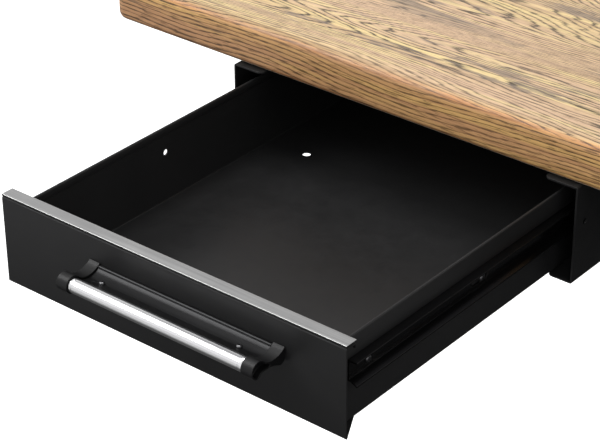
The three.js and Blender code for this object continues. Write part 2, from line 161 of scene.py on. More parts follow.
def wood():
    w = Mat("oiled_oak")
    x, y, z = w.xyz(w.co)[:3]
    # slow wander of the growth rings along the board
    slow = w.noise(w.scale(0.95, 7.5, 5.0, loc=(3.1, 0.4, 0.2)), 1.0, 1.2, 0.40, 0.2)
    mid = w.noise(w.scale(5.0, 40.0, 24.0, loc=(0.3, 7.0, 2.0)), 1.0, 2.0, 0.5, 0.0)
    jag = w.noise(w.scale(34.0, 620.0, 620.0, loc=(5.0, 1.0, 4.0)), 1.0, 2.0, 0.6, 0.0)
    h = w.math("MULTIPLY", y, 185.0)
    h = w.math("ADD", h, w.math("MULTIPLY", z, 235.0))
    h = w.math("ADD", h, w.math("MULTIPLY", x, 3.0))
    h = w.math("ADD", h, w.math("MULTIPLY", slow, 84.0))
    h = w.math("ADD", h, w.math("MULTIPLY", mid, 5.0))
    h = w.math("ADD", h, w.math("MULTIPLY", jag, 0.90))
    ring = w.math("FRACT", h)
    profile = [(0.0, 1.0), (0.10, 1.0), (0.18, 0.30), (0.34, 0.0), (0.84, 0.0), (0.92, 0.45), (0.97, 1.0), (1.0, 1.0)]
    line = w.ramp(ring, profile, "LINEAR")
    # on the sides of the slab the rings are cut along the board: near-parallel wavy lines
    drift = w.noise(w.scale(1.9, 3.0, 2.6, loc=(6.0, 2.2, 1.4)), 1.0, 2.0, 0.45, 0.0)
    wave = w.noise(w.scale(9.0, 30.0, 30.0, loc=(2.6, 1.1, 4.3)), 1.0, 2.0, 0.5, 0.0)
    g = w.math("ADD", w.math("MULTIPLY", z, 225.0), w.math("MULTIPLY", drift, 26.0))
    g = w.math("ADD", g, w.math("MULTIPLY", wave, 1.5))
    g = w.math("ADD", g, w.math("ADD", w.math("MULTIPLY", jag, 0.85), w.math("MULTIPLY", x, 2.0)))
    g = w.math("ADD", g, w.math("MULTIPLY", y, 14.0))
    edge_line = w.ramp(w.math("FRACT", g), profile, "LINEAR")
    slab_side = w.range(w.math("ABSOLUTE", w.normal_z()), 0.45, 0.75, 1.0, 0.0)
    line = w.math("ADD", w.math("MULTIPLY", line, w.math("SUBTRACT", 1.0, slab_side)), w.math("MULTIPLY", edge_line, slab_side))
    # how strongly the rings show changes over the board
    show = w.noise(w.scale(2.6, 17.0, 17.0, loc=(1.0, 2.0, 9.0)), 1.0, 2.0, 0.55, 0.0)
    line = w.math("MULTIPLY", line, w.range(show, 0.30, 0.56, 0.62, 1.0))
    # long streaks of colour
    streak = w.noise(w.scale(2.4, 210.0, 210.0, loc=(0.0, 3.0, 1.0)), 1.0, 4.0, 0.65, 0.0)
    tint = w.noise(w.scale(1.4, 20.0, 20.0, loc=(8.0, 1.0, 5.0)), 1.0, 2.5, 0.5, 0.0)
    base = w.ramp(streak, [(0.30, srgb(150, 122, 88)), (0.43, srgb(184, 154, 114)), (0.54, srgb(206, 176, 130)), (0.66, srgb(230, 204, 144))])
    base = w.mix(w.range(tint, 0.40, 0.62, 0.0, 0.78), base, srgb(206, 172, 142))
    yellow = w.noise(w.scale(3.0, 95.0, 95.0, loc=(2.0, 5.0, 3.0)), 1.0, 3.0, 0.6, 0.0)
    base = w.mix(w.range(yellow, 0.52, 0.64, 0.0, 0.62), base, srgb(226, 203, 142))
    # grey-brown flames with ragged ends
    blot = w.noise(w.scale(6.0, 46.0, 46.0, loc=(4.0, 2.0, 6.0)), 1.0, 2.5, 0.55, 0.3)
    flame = w.math("ADD", blot, w.math("MULTIPLY", w.math("SUBTRACT", jag, 0.5), 0.42))
    flame = w.math("MULTIPLY", w.range(flame, 0.555, 0.60, 0.0, 1.0), w.range(show, 0.44, 0.52, 0.0, 1.0))
    col = w.mix(w.math("MULTIPLY", line, 0.97), base, srgb(70, 58, 44))
    col = w.mix(w.math("MULTIPLY", flame, 0.74), col, srgb(122, 108, 96))
    # open pores: short dark dashes
    pore = w.noise(w.scale(62.0, 1050.0, 1050.0), 1.0, 1.0, 0.5, 0.0)
    pores = w.range(pore, 0.54, 0.62, 0.0, 1.0)
    pores = w.math("MULTIPLY", pores, w.range(ring, 0.50, 1.0, 0.30, 1.0))
    col = w.mix(w.math("MULTIPLY", pores, 0.72), col, srgb(88, 70, 50))
    # painted shade: the sides of the slab are made darker and warmer by the way they face, as they catch less light
    # than the top
    nz = w.math("ABSOLUTE", w.normal_z())
    side = w.range(nz, 0.10, 0.90, 1.0, 0.0)
    shade_patchiness = w.noise(w.scale(9.0, 40.0, 40.0, loc=(1.0, 8.0, 2.0)), 1.0, 3.0, 0.6, 0.0)
    # painted shade: the round-overs between top and sides are darker and warmer still, in patches
    round_over_shade = w.ramp(nz, [(0.20, 0.0), (0.55, 1.0), (0.80, 1.0), (0.985, 0.0)])
    col = w.mix(side, col, w.mix(1.0, col, srgb(250, 226, 200), "MULTIPLY"))
    col = w.mix(w.math("MULTIPLY", round_over_shade, w.range(shade_patchiness, 0.3, 0.7, 0.4, 1.0)), col,
                w.mix(1.0, col, srgb(236, 190, 146), "MULTIPLY"))
    # painted highlight: a pale line along the lower edge of the slab, where the edge would catch light
    painted_edge_highlight = w.range(z, 0.8376, 0.8384, 1.0, 0.0)
    col = w.mix(w.math("MULTIPLY", painted_edge_highlight, 0.85), col, srgb(238, 224, 204))
    w.link(col, "Base Color")
    rough = w.range(streak, 0.3, 0.7, 0.36, 0.52)
    rough = w.math("ADD", rough, w.math("MULTIPLY", pores, 0.16))
    w.link(rough, "Roughness")
    height = w.math("SUBTRACT", w.math("MULTIPLY", line, -0.35), w.math("MULTIPLY", pores, 0.8))
    w.link(w.bump(height, 0.25, 0.0004), "Normal")
    w.set(Specular_IOR_Level=0.42, Coat_Weight=0.10, Coat_Roughness=0.24)
    return w.m


def powder(name, dark, light, r0, r1, spec=0.3, grain=1300.0, depth=0.00005, bump=0.22):
    """Baked powder coat: a fine orange-peel skin, cloudy gloss and a few rubbed places."""
    w = Mat(name)
    cloud = w.noise(w.scale(9, 9, 9), 1.0, 4.0, 0.6, 0.3)
    col = w.mix(w.range(cloud, 0.3, 0.7, 0.0, 1.0), dark, light)
    rub = w.noise(w.scale(36, 210, 60, loc=(2, 1, 7)), 1.0, 5.0, 0.7, 0.0)
    rubbed = w.range(rub, 0.66, 0.80, 0.0, 0.35)
    col = w.mix(rubbed, col, tuple(min(1, c * 1.9) for c in light))
    w.link(col, "Base Color")
    peel = w.noise(w.co, grain, 2.0, 0.5, 0.0)
    fine = w.noise(w.scale(60, 60, 60), 1.0, 4.0, 0.65, 0.0)
    w.link(w.range(w.math("ADD", fine, w.math("MULTIPLY", rubbed, -0.5)), 0.25, 0.75, r0, r1), "Roughness")
    w.link(w.bump(peel, bump, depth), "Normal")
    w.set(Specular_IOR_Level=spec)
    return w.m


def brushed(name, col_a, col_b, r0, r1, along="x", lines=900.0, metallic=1.0, bump=0.10, spec=0.5):
    """Drawn or brushed metal: long fine scratches along one axis, with slow clouding."""
    w = Mat(name)
    s = {"x": (6, lines, lines), "y": (lines, 6, lines), "z": (lines, lines, 6)}[along]
    scratch = w.noise(w.scale(*s), 1.0, 3.0, 0.65, 0.0)
    cloud = w.noise(w.scale(14, 14, 14, loc=(1, 3, 2)), 1.0, 3.0, 0.55, 0.4)
    f = w.math("ADD", w.math("MULTIPLY", scratch, 0.65), w.math("MULTIPLY", cloud, 0.35))
    w.link(w.mix(w.range(f, 0.34, 0.66, 0.0, 1.0), col_a, col_b), "Base Color")
    w.link(w.range(f, 0.3, 0.7, r0, r1), "Roughness")
    w.link(w.bump(scratch, bump, 0.00004), "Normal")
    w.set(Metallic=metallic, Specular_IOR_Level=spec)
    return w.m


def plated(name, col_a, col_b, r0, r1, spots=260.0, metallic=1.0, bump=0.12):
    """Rolled, plated or cast metal: spangle and small marks without a direction."""
    w = Mat(name)
    cloud = w.noise(w.scale(30, 30, 30), 1.0, 4.0, 0.6, 0.5)
    cell = w.voronoi(w.co, spots)
    f = w.math("ADD", w.math("MULTIPLY", cloud, 0.7), w.math("MULTIPLY", cell, 0.4))
    w.link(w.mix(w.range(f, 0.30, 0.75, 0.0, 1.0), col_a, col_b), "Base Color")
    w.link(w.range(f, 0.25, 0.8, r0, r1), "Roughness")
    w.link(w.bump(w.noise(w.co, 2400.0, 2.0, 0.5, 0.0), bump, 0.00004), "Normal")
    w.set(Metallic=metallic)
    return w.m


def moulded(name, dark, light, r0, r1, grain=1700.0, spec=0.4, bump=0.35):
    """Moulded plastic or rubber with a spark-eroded grain."""
    w = Mat(name)
    cloud = w.noise(w.scale(40, 40, 40), 1.0, 3.0, 0.55, 0.0)
    w.link(w.mix(w.range(cloud, 0.3, 0.7, 0.0, 1.0), dark, light), "Base Color")
    cell = w.voronoi(w.co, grain)
    w.link(w.range(w.math("ADD", w.math("MULTIPLY", cloud, 0.6), w.math("MULTIPLY", cell, 0.5)), 0.2, 0.8, r0, r1), "Roughness")
    w.link(w.bump(cell, bump, 0.00005), "Normal")
    w.set(Specular_IOR_Level=spec)
    return w.m


M = {
    "wood": wood(),
    "black": powder("black_powder_coat", (0.0126, 0.0126, 0.0129), (0.0166, 0.0165, 0.0168), 0.34, 0.46, spec=0.27),
    "frame": powder("frame_powder_coat", (0.012, 0.0122, 0.013), (0.019, 0.0192, 0.0203), 0.42, 0.58, spec=0.4, grain=900.0, depth=0.0001, bump=0.35),
    "strip": brushed("bright_strip_brushed", (0.37, 0.37, 0.37), (0.48, 0.48, 0.475), 0.34, 0.46, "x", 700.0),
    "bar": brushed("silver_bar_polished", (0.90, 0.90, 0.91), (0.97, 0.97, 0.97), 0.13, 0.24, "x", 1500.0, bump=0.05),
    "alu": brushed("dark_aluminium_plate", (0.016, 0.016, 0.0165), (0.028, 0.028, 0.029), 0.26, 0.38, "x", 1100.0, metallic=0.85, bump=0.04),
    "slide": brushed("slide_rail_steel", (0.022, 0.022, 0.023), (0.034, 0.033, 0.034), 0.17, 0.25, "y", 2600.0, metallic=0.9, bump=0.015),
    "darkzinc": plated("black_zinc_screws", (0.10, 0.10, 0.105), (0.20, 0.20, 0.205), 0.24, 0.40),
    "zinc": plated("zinc_plated", (0.46, 0.47, 0.48), (0.66, 0.67, 0.68), 0.26, 0.42),
    "plastic": moulded("black_moulded_plastic", (0.0050, 0.0050, 0.0052), (0.0090, 0.0090, 0.0093), 0.32, 0.46, spec=0.26),
    "rubber": moulded("foot_rubber", (0.016, 0.016, 0.0165), (0.030, 0.030, 0.031), 0.62, 0.82, grain=1100.0, spec=0.3),
}


# ------------------------------------------------------------------ mesh tools
def new_object(name, verts, faces, off=(0, 0, 0)):
    me = bpy.data.meshes.new(name)
    me.from_pydata([((x + off[0]) * MM, (y + off[1]) * MM, (z + off[2]) * MM) for x, y, z in verts], [], faces)
    bm = bmesh.new()
    bm.from_mesh(me)
    bmesh.ops.remove_doubles(bm, verts=bm.verts, dist=1e-6)
    bmesh.ops.recalc_face_normals(bm, faces=bm.faces)
    bm.to_mesh(me)
    bm.free()
    ob = bpy.data.objects.new(name, me)
    SCENE.collection.objects.link(ob)
    return ob


def cut_out(ob, cutter):
    m = ob.modifiers.new("cut", "BOOLEAN")
    m.operation, m.solver, m.object = "DIFFERENCE", "EXACT", cutter
    dg = bpy.context.evaluated_depsgraph_get()
    me = bpy.data.meshes.new_from_object(ob.evaluated_get(dg), preserve_all_data_layers=False, depsgraph=dg)
    ob.modifiers.clear()
    old = ob.data
    ob.data = me
    bpy.data.meshes.remove(old)
    gone = cutter.data
    bpy.data.objects.remove(cutter)
    bpy.data.meshes.remove(gone)


def dress(ob, mat, body, replaces=(), bevel=0.0, seg=2, angle=32.0, sharp=32.0):
    me = ob.data
    me.materials.clear()
    me.materials.append(M[mat])
    me.shade_smooth()
    if bevel:
        b = ob.modifiers.new("edges", "BEVEL")
        b.width, b.segments, b.limit_method = bevel * MM, seg, "ANGLE"
        b.angle_limit = math.radians(angle)
        b.harden_normals = True
        b.use_clamp_overlap = True
        b.miter_outer = "MITER_ARC" if seg > 1 else "MITER_SHARP"
    else:
        me.set_sharp_from_angle(angle=math.radians(sharp))
    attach(ob, body)
    if replaces:
        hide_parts(*replaces)
    return ob


def merge(parts):
    """Several (verts, faces) lists as one."""
    verts, faces = [], []
    for v, f in parts:
        n = len(verts)
        verts += v
        faces += [tuple(i + n for i in q) for q in f]
    return verts, faces


def place(axis, a, b, c):
    """(a, b) in the section plane and c along the axis."""
    return {"x": (c, a, b), "y": (a, c, b), "z": (a, b, c)}[axis]


def prism(axis, outline, c0, c1):
    n = len(outline)
    v = [place(axis, a, b, c0) for a, b in outline] + [place(axis, a, b, c1) for a, b in outline]
    f = [tuple(range(n)), tuple(range(2 * n - 1, n - 1, -1))]
    f += [(i, (i + 1) % n, n + (i + 1) % n, n + i) for i in range(n)]
    return v, f


def rounded(a0, a1, b0, b1, r, n=6):
    out = []
    for ca, cb, t in ((a1 - r, b0 + r, -90), (a1 - r, b1 - r, 0), (a0 + r, b1 - r, 90), (a0 + r, b0 + r, 180)):
        for i in range(n + 1):
            q = math.radians(t + 90.0 * i / n)
            out.append((ca + r * math.cos(q), cb + r * math.sin(q)))
    return out


def circle(ca, cb, r, n=24):
    return [(ca + r * math.cos(2 * math.pi * i / n), cb + r * math.sin(2 * math.pi * i / n)) for i in range(n)]


def loops(axis, rings):
    """rings of (points, c), each with as many points: a closed solid skinned from the first to the last."""
    n = len(rings[0][0])
    v, f = [], []
    for pts, c in rings:
        v += [place(axis, a, b, c) for a, b in pts]
    for k in range(len(rings) - 1):
        for i in range(n):
            j = (i + 1) % n
            f.append((k * n + i, k * n + j, (k + 1) * n + j, (k + 1) * n + i))
    f.append(tuple(range(n)))
    f.append(tuple(range(len(v) - 1, len(v) - n - 1, -1)))
    return v, f


def tube(axis, a0, a1, b0, b1, c0, c1, wall=2.5, r=5.0, n=6):
    """Open-ended rectangular tube."""
    o = rounded(a0, a1, b0, b1, r, n)
    i = rounded(a0 + wall, a1 - wall, b0 + wall, b1 - wall, max(r - wall, 0.6), n)
    k = len(o)
    v = []
    for c in (c0, c1):
        v += [place(axis, a, b, c) for a, b in o] + [place(axis, a, b, c) for a, b in i]
    f = []
    for p in range(k):
        q = (p + 1) % k
        f.append((p, q, 2 * k + q, 2 * k + p))
        f.append((k + q, k + p, 3 * k + p, 3 * k + q))
        f.append((p, k + p, k + q, q))
        f.append((2 * k + p, 2 * k + q, 3 * k + q, 3 * k + p))
    return v, f


def lathe(profile, n=32, at=(0, 0, 0), axis="z", sign=1):
    """Closed solid of revolution; profile is (radius, height) from the axis back to the axis."""
    v, f, rows = [], [], []
    for r, h in profile:
        if r < 1e-6:
            rows.append([len(v)])
            v.append((0.0, 0.0, h))
        else:
            rows.append(list(range(len(v), len(v) + n)))
            v += [(r * math.cos(2 * math.pi * i / n), r * math.sin(2 * math.pi * i / n), h) for i in range(n)]
    for a, b in zip(rows, rows[1:]):
        for i in range(n):
            j = (i + 1) % n
            q = [a[i % len(a)], a[j % len(a)], b[j % len(b)], b[i % len(b)]]
            q = [x for k, x in enumerate(q) if x != q[k - 1]]
            if len(q) > 2:
                f.append(tuple(q))
    turn = {"z": lambda p: (p[0], p[1], sign * p[2]), "x": lambda p: (sign * p[2], p[0], p[1]), "y": lambda p: (p[0], sign * p[2], p[1])}[axis]
    return [tuple(c + o for c, o in zip(turn(p), at)) for p in v], f


def fillet(pts, r, n=5):
    """An open polyline with its inner corners rounded."""
    out = [pts[0]]
    for i in range(1, len(pts) - 1):
        p, a, b = Vector(pts[i]), Vector(pts[i - 1]), Vector(pts[i + 1])
        u, w = (a - p).normalized(), (b - p).normalized()
        half = u.angle(w) / 2
        rr = min(r, 0.48 * min((a - p).length, (b - p).length) * math.tan(half))
        d = rr / math.tan(half)
        c = p + (u + w).normalized() * (rr / math.sin(half))
        s, e = p + u * d - c, p + w * d - c
        total = s.angle_signed(e)
        for k in range(n + 1):
            q = -total * k / n
            out.append((c.x + s.x * math.cos(q) - s.y * math.sin(q), c.y + s.x * math.sin(q) + s.y * math.cos(q)))
    out.append(pts[-1])
    return out


def offset(path, t):
    """The polyline moved t to its right."""
    out = []
    for i, p in enumerate(path):
        dirs = []
        if i:
            dirs.append((Vector(p) - Vector(path[i - 1])).normalized())
        if i < len(path) - 1:
            dirs.append((Vector(path[i + 1]) - Vector(p)).normalized())
        d = sum(dirs, Vector((0, 0))).normalized()
        k = 1 / max(0.3, d.dot(dirs[0]))
        out.append((p[0] + d.y * t * k, p[1] - d.x * t * k))
    return out


def sheet(axis, path, t, span):
    """Bent sheet metal: path is the section of its outer face, t the thickness to the right of the path, span(i, p) how far it runs."""
    inner = offset(path, t)
    n = len(path)
    v = []
    for end in (0, 1):
        for side in (path, inner):
            for i, p in enumerate(side):
                v.append(place(axis, p[0], p[1], span(i, path[i])[end]))
    o0, i0, o1, i1 = 0, n, 2 * n, 3 * n
    f = []
    for k in range(n - 1):
        f.append((o0 + k, o0 + k + 1, o1 + k + 1, o1 + k))
        f.append((i0 + k + 1, i0 + k, i1 + k, i1 + k + 1))
        f.append((o0 + k, i0 + k, i0 + k + 1, o0 + k + 1))
        f.append((o1 + k, o1 + k + 1, i1 + k + 1, i1 + k))
    f.append((o0, o1, i1, i0))
    f.append((o0 + n - 1, i0 + n - 1, i1 + n - 1, o1 + n - 1))
    return v, f


def curved(outline, steps=3):
    """A closed outline drawn smooth through its points (Catmull-Rom)."""
    n, out = len(outline), []
    for i in range(n):
        p0, p1, p2, p3 = (Vector(outline[(i + k - 1) % n]) for k in range(4))
        for s in range(steps):
            t = s / steps
            q = 0.5 * (2 * p1 + (p2 - p0) * t + (2 * p0 - 5 * p1 + 4 * p2 - p3) * t * t + (3 * p1 - p0 - 3 * p2 + p3) * t ** 3)
            out.append((q.x, q.y))
    return out


def mirror_x(vf):
    return [(-x, y, z) for x, y, z in vf[0]], [tuple(reversed(q)) for q in vf[1]]


def mirror_if(s, vf):
    return vf if s > 0 else mirror_x(vf)


def holes(*tools):
    return new_object("tool", *merge(tools))


# ------------------------------------------------------------------ worktop
def worktop():
    x0, x1, y0, y1, z0, z1 = -600, 600, -192, 558, 835, 880
    r, rc = 9.0, 14.0
    rings = []
    for i in range(7):
        q = math.radians(15 * i)
        d, z = r * (1 - math.sin(q)), z0 + r * (1 - math.cos(q))
        rings.append((rounded(x0 + d, x1 - d, y0 + d, y1 - d, max(rc - d, 4.0), 6), z))
    for i in range(7):
        q = math.radians(90 - 15 * i)
        d, z = r * (1 - math.sin(q)), z1 - r * (1 - math.cos(q))
        rings.append((rounded(x0 + d, x1 - d, y0 + d, y1 - d, max(rc - d, 4.0), 6), z))
    ob = new_object("worktop_slab", *loops("z", rings))
    dress(ob, "wood", "bench", ["worktop"])


worktop()


# ------------------------------------------------------------------ steel frame
def part(name, vf, mat, node=None, bevel=0.0, body="bench", cuts=(), seg=2, angle=32.0, sharp=32.0, off=(0, 0, 0)):
    ob = new_object(name, *vf, off=off)
    if cuts:
        tool = holes(*cuts)
        for p in tool.data.vertices:
            p.co += Vector(off) * MM
        cut_out(ob, tool)
    return dress(ob, mat, body, [node] if node else (), bevel, seg, angle, sharp)


def plug(name, node, axis, a0, a1, b0, b1, end, d):
    """Push-in end plug: a tongue inside the tube, then a plate with softened edges."""
    t = 2.9
    g0, g1 = end + d * 0.3, end + d * 2.8
    rings = [
        (rounded(a0 + t, a1 - t, b0 + t, b1 - t, 3, 5), end - d * 12),
        (rounded(a0 + t, a1 - t, b0 + t, b1 - t, 3, 5), g0),
        (rounded(a0, a1, b0, b1, 5, 5), g0),
        (rounded(a0, a1, b0, b1, 5, 5), g1 - d * 1.3),
        (rounded(a0 + 0.4, a1 - 0.4, b0 + 0.4, b1 - 0.4, 4.7, 5), g1 - d * 0.5),
        (rounded(a0 + 1.4, a1 - 1.4, b0 + 1.4, b1 - 1.4, 4, 5), g1),
        (rounded(a0 + 6, a1 - 6, b0 + 6, b1 - 6, 2.5, 5), g1),
        (rounded(a0 + 6.8, a1 - 6.8, b0 + 6.8, b1 - 6.8, 2, 5), g1 - d * 0.5),
    ]
    part(name, loops(axis, rings), "plastic", node, sharp=40)


def weld(name, a, b, r=2.6, body="bench"):
    """A weld bead from a to b, with the ripple of its puddles."""
    a, b = Vector(a), Vector(b)
    d = (b - a).normalized()
    u = d.orthogonal().normalized()
    w = d.cross(u)
    steps = max(8, int((b - a).length / 0.9))
    v, f, n = [], [], 10
    for k in range(steps + 1):
        t = k / steps
        rr = r * (0.86 + 0.14 * abs(math.sin(math.pi * (b - a).length * t / 3.6))) * min(1.0, 0.45 + 6 * t, 0.45 + 6 * (1 - t))
        p = a + (b - a) * t
        for i in range(n):
            q = 2 * math.pi * i / n
            o = p + u * rr * math.cos(q) + w * rr * math.sin(q)
            v.append(tuple(o))
    for k in range(steps):
        for i in range(n):
            j = (i + 1) % n
            f.append((k * n + i, k * n + j, (k + 1) * n + j, (k + 1) * n + i))
    f.append(tuple(range(n)))
    f.append(tuple(range(len(v) - 1, len(v) - n - 1, -1)))
    part(name, (v, f), "frame", sharp=60)


def hex_bolt(name, at, axis, sign, af=13.0, h=5.3, washer=True, body="bench", mat="zinc"):
    """Hexagon head standing on a surface at a point, with its washer. sign is the side it stands on."""
    rr = af / math.sqrt(3)
    hexa = lambda r: [(r * math.cos(math.radians(60 * i + 30)), r * math.sin(math.radians(60 * i + 30))) for i in range(6)]
    z0 = 1.6 if washer else 0.0
    rings = [(hexa(rr), z0), (hexa(rr), z0 + h - 0.9), (hexa(rr * 0.90), z0 + h)]
    v, f = loops("z", rings)
    parts = [(v, f)]
    if washer:
        parts.append(lathe([(0, 0.02), (af * 0.92, 0.02), (af * 0.95, 0.3), (af * 0.95, 1.2), (af * 0.90, 1.55), (0, 1.55)], 32))
    v, f = merge(parts)
    turn = {"z": lambda p: (p[0], p[1], sign * p[2]), "x": lambda p: (sign * p[2], p[0], p[1]), "y": lambda p: (p[0], sign * p[2], p[1])}[axis]
    v = [tuple(c + o for c, o in zip(turn(p), at)) for p in v]
    return part(name, (v, f), mat, body=body, sharp=28)


RAIL_Z1 = 834.7
part("rear_rail_tube", tube("x", 454, 514, 784.7, RAIL_Z1, -560, 560), "frame", "rear_rail", bevel=0.5, angle=60)
for name, x, w in (("left_arm", -530, 60), ("middle_arm", 0, 40), ("right_arm", 530, 60)):
    part(name + "_tube", tube("y", x - w / 2, x + w / 2, 794.7, RAIL_Z1, -116, 453.7), "frame", name, bevel=0.5, angle=60)
    plug(name + "_end", name + "_plug", "y", x - w / 2, x + w / 2, 794.7, RAIL_Z1, -116, -1)
    for k, y in enumerate((-70, 180, 400)):
        hex_bolt("%s_bolt_%d" % (name, k + 1), (x, y, 794.7), "z", -1, 10.0, 4.0)
    weld(name + "_weld", (x - w / 2 + 5, 453.9, 795.4), (x + w / 2 - 5, 453.9, 795.4), 2.4)
for side, s in (("left", -1), ("right", 1)):
    xc = 296 * s
    x0, x1 = xc - 35, xc + 35
    plug(side + "_rail_end", side + "_rail_plug", "x", 454, 514, 784.7, RAIL_Z1, 560 * s, s)
    part(side + "_column_tube", tube("z", x0, x1, 454, 514, 82.3, 784.4), "frame", side + "_column", bevel=0.5, angle=60)
    part(side + "_floor_beam_tube", tube("y", x0, x1, 22, 82, -96, 544), "frame", side + "_floor_beam", bevel=0.5, angle=60)
    plug(side + "_beam_front_end", side + "_beam_front_plug", "y", x0, x1, 22, 82, -96, -1)
    plug(side + "_beam_rear_end", side + "_beam_rear_plug", "y", x0, x1, 22, 82, 544, 1)
    gy, gz = 453.7, 82.3
    part(side + "_gusset_plate", prism("x", [(gy, gz), (gy, gz + 95), (gy - 12, gz + 95), (gy - 95, gz + 12), (gy - 95, gz)], xc - 3, xc + 3),
         "frame", side + "_gusset", bevel=0.9,
         cuts=[prism("x", circle(gy - 30, gz + 30, 8, 32), xc - 6, xc + 6)])
    for e in (-1, 1):
        weld("%s_gusset_weld_%s_low" % (side, "ab"[e > 0]), (xc + 3.4 * e, gy - 92, gz + 0.4), (xc + 3.4 * e, gy - 3, gz + 0.4), 2.0)
        weld("%s_gusset_weld_%s_up" % (side, "ab"[e > 0]), (xc + 3.4 * e, gy - 0.2, gz + 4), (xc + 3.4 * e, gy - 0.2, gz + 92), 2.0)
    for k, (pa, pb) in enumerate((((x0 + 5, 453.8, 82.4), (x1 - 5, 453.8, 82.4)), ((x0 + 5, 514.2, 82.4), (x1 - 5, 514.2, 82.4)),
                                  ((x0 + 5, 454, 784.5), (x1 - 5, 454, 784.5)), ((x0 + 5, 513.6, 784.5), (x1 - 5, 513.6, 784.5)))):
        weld("%s_column_weld_%d" % (side, k + 1), pa, pb, 2.4)
    for end, y in (("front", -56), ("rear", 504)):
        profile = [(0, 0.6), (16, 0.6), (16.6, 0), (22.4, 0), (23.6, 0.5), (24, 1.7), (24, 5.2), (23.4, 6.1), (21, 7.2), (18, 8.3), (12, 9.6), (9.4, 10.0), (0, 10.0)]
        part("%s_%s_foot_pad" % (side, end), lathe(profile, 64, (xc, y, 0)), "rubber", "%s_%s_foot" % (side, end), sharp=50)
        nut = [(0, 10.05), (8.9, 10.05), (8.9, 13.4), (8.2, 14.0), (0, 14.0)]
        v, f = lathe(nut, 6, (xc, y, 0))
        part("%s_%s_foot_nut" % (side, end), (v, f), "zinc", bevel=0.3)
        stem = [(0, 14.0)]
        z = 14.05
        while z < 21.0:
            stem += [(5.1, z), (5.9, z + 0.45), (5.9, z + 0.6), (5.1, z + 1.05)]
            z += 1.25
        stem += [(0, 21.6)]
        part("%s_%s_foot_stem" % (side, end), lathe(stem, 32, (xc, y, 0)), "zinc", sharp=50)
part("lower_crossbar_tube", tube("x", 464, 504, 180, 220, -260.7, 260.7), "frame", "lower_crossbar", bevel=0.5, angle=60)
for s in (-1, 1):
    for k, (pa, pb) in enumerate((((261 * s, 464.5, 185), (261 * s, 464.5, 215)), ((261 * s, 503.5, 185), (261 * s, 503.5, 215)),
                                  ((261 * s, 469, 219.6), (261 * s, 499, 219.6)), ((261 * s, 469, 180.4), (261 * s, 499, 180.4)))):
        weld("crossbar_weld_%s_%d" % ("lr"[s > 0], k + 1), pa, pb, 2.2)

# ------------------------------------------------------------------ drawer units
CAP = [(-0.3, 64.3), (-2, 63.6), (-4, 62.3), (-8, 60.7), (-12, 59.8), (-16, 59.5), (-20, 60), (-23.5, 61.5), (-26.5, 64),
       (-29.5, 66.2), (-33, 67.2), (-36.5, 66.8), (-39.5, 64.8), (-41.4, 61.8), (-42, 58.5), (-41.2, 55.2), (-39, 52.4),
       (-36, 50.8), (-33.5, 50.9), (-31.5, 52.6), (-29.5, 54), (-26, 54.6), (-20, 54.4), (-15, 53.4), (-11, 51.9), (-8, 50.4),
       (-5.5, 49.8), (-3, 50.4), (-1, 52.2), (-0.3, 54.5)]
POCKET = [(-20, 58.4), (-24, 60.2), (-27.3, 62.9), (-30, 64.8), (-33, 65.7), (-36, 65.3), (-38.5, 63.7), (-40, 61.2),
          (-40.5, 58.5), (-39.8, 55.8), (-38, 53.7), (-35.8, 52.4), (-34, 52.5), (-32.2, 54), (-29.8, 55.4), (-26, 56.1), (-20, 55.9)]
PLATE = [(-0.3, 63), (-2.2, 63), (-3.2, 62.2), (-3.6, 61), (-5.5, 59.6), (-8, 58.6), (-12, 57.6), (-15.5, 57.2), (-21, 58.6),
         (-25.9, 60.4), (-25.9, 58.4), (-21, 56.6), (-15.5, 55.2), (-12, 55.6), (-8, 56.6), (-4.3, 57.2), (-2.3, 56.4),
         (-2.3, 51.5), (-0.3, 51.5)]
INNER = [(180.3, 42), (183, 42), (189.9, 38.9), (189.9, 40.6), (183.4, 43.6), (181.9, 44.2), (181.9, 60.3), (183.2, 60.9),
         (189.9, 61.3), (189.9, 62.9), (180.3, 62.5)]
OUTER = [(198, 33.3), (198, 69.1), (182.6, 69.1), (182.6, 66.2), (184.2, 66.2), (184.2, 67.5), (196.4, 67.5), (196.4, 34.9),
         (184.2, 34.9), (184.2, 36.2), (182.6, 36.2), (182.6, 33.3)]
CAGE = [(185.2, 64.6), (192.1, 64.6), (192.1, 37.8), (185.2, 37.8), (185.2, 37), (192.9, 37), (192.9, 65.4), (185.2, 65.4)]


def cross_recess(at, axis, sign, r, depth):
    """The tool for a cross recess in a screw head that faces along axis."""
    tools = []
    for a, b in ((r, r * 0.24), (r * 0.24, r)):
        v, f = prism("z", [(-a, -b), (a, -b), (a, b), (-a, b)], -depth, depth)
        turn = {"z": lambda p: (p[0], p[1], sign * p[2]), "x": lambda p: (sign * p[2], p[0], p[1]), "y": lambda p: (p[0], sign * p[2], p[1])}[axis]
        tools.append(([tuple(c + o for c, o in zip(turn(p), at)) for p in v], f))
    return tools


def pan_screw(name, at, axis, sign, r, h, shank_r, shank, body, off, node=None, mat="darkzinc"):
    """Pan-head screw: head on the surface at a point, shank the other way, cross recess."""
    prof = [(0, -shank), (shank_r * 0.7, -shank), (shank_r, -shank + 0.5), (shank_r, 0), (r, 0), (r, h * 0.35), (r * 0.93, h * 0.65),
            (r * 0.72, h * 0.9), (r * 0.4, h), (0, h)]
    ob = new_object(name, *lathe(prof, 28, at, axis, sign), off=off)
    top = tuple(a + (sign * h if c == axis else 0) for a, c in zip(at, "xyz"))
    for t in cross_recess(top, axis, sign, r * 0.62, h * 0.45):
        tool = new_object("tool", *t, off=off)
        cut_out(ob, tool)
    return dress(ob, mat, body, [node] if node else (), sharp=35)


